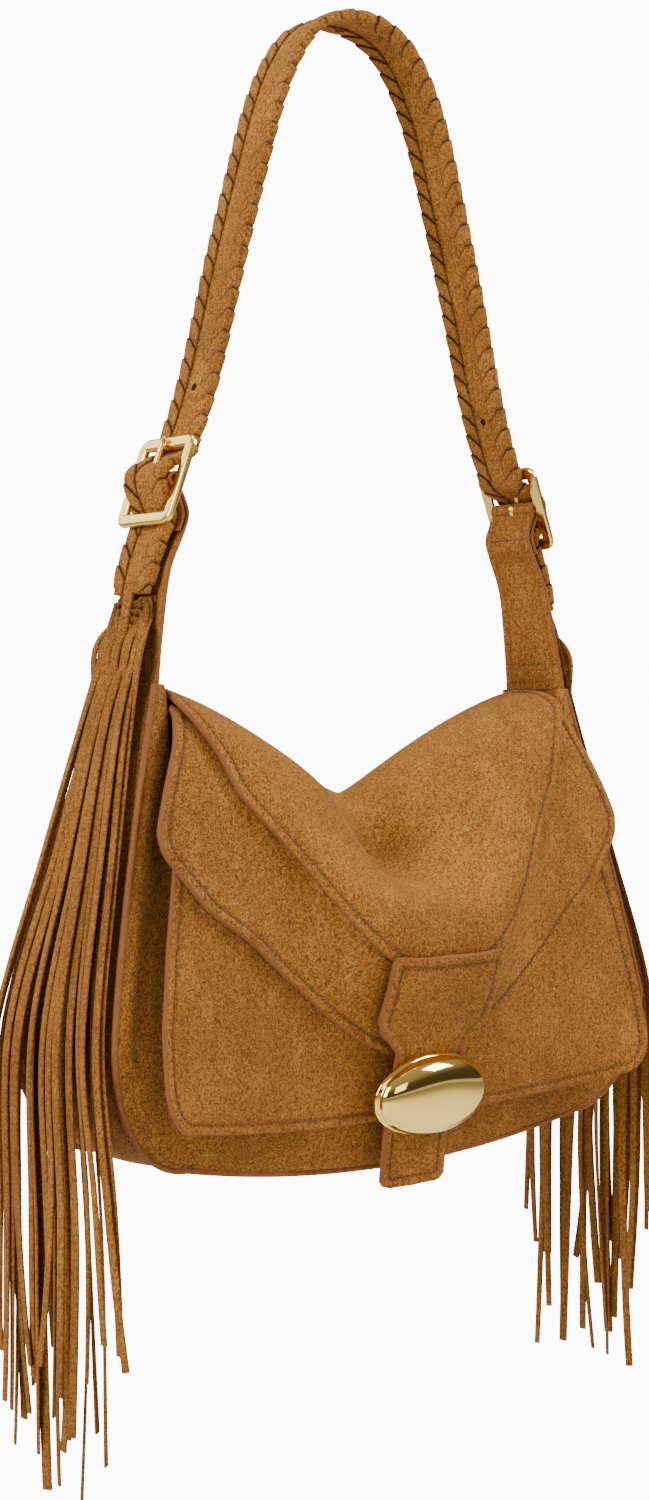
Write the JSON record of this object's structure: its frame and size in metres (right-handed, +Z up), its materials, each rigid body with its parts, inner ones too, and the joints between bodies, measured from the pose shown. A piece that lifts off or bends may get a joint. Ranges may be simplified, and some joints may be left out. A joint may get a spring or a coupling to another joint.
{
  "type": "fringed shoulder bag",
  "caption": "Soft suede shoulder bag with a layered flap, metal oval clasp, side fringe and a laced strap held by buckles.",
  "frame": {"origin": "underside of the strap at its crown, where a hook or shoulder carries the bag", "axes": "+Z up along the hanging bag, -Y out of the bag's front, +X to its right side"},
  "size_m": [0.3708, 0.1376, 0.7158],
  "materials": {
    "tan_suede": "napped suede",
    "painted_edge": "painted edge",
    "polished_gold": "polished plating",
    "magnet_steel": "plain"
  },
  "bodies": {
    "bag": {"front_panel": "tan_suede", "back_panel": "tan_suede", "gusset": "tan_suede", "front_piping": "painted_edge", "back_piping": "painted_edge", "clasp_plate": "magnet_steel", "shoulder_strap": "tan_suede", "front_lacing": "tan_suede", "back_lacing": "tan_suede", "left_buckle_frame": "polished_gold", "right_buckle_frame": "polished_gold", "left_prong": "polished_gold", "right_prong": "polished_gold", "left_tab": "tan_suede", "right_tab": "tan_suede", "left_fringe_1": "tan_suede", "left_fringe_2": "tan_suede", "left_fringe_3": "tan_suede", "right_fringe_1": "tan_suede", "right_fringe_2": "tan_suede", "right_fringe_3": "tan_suede"},
    "flap": {"flap_centre": "tan_suede", "left_wing": "tan_suede", "right_wing": "tan_suede", "flap_lower": "tan_suede", "closure_tab": "tan_suede", "clasp_dome": "polished_gold", "clasp_magnet": "magnet_steel"}
  },
  "joints": [
    {"name": "flap_open", "type": "hinge", "parent": "bag", "child": "flap", "pos_m": [0, 0.01, -0.3377], "axis": [-1, 0, 0], "range_deg": [0, 60]}
  ]
}
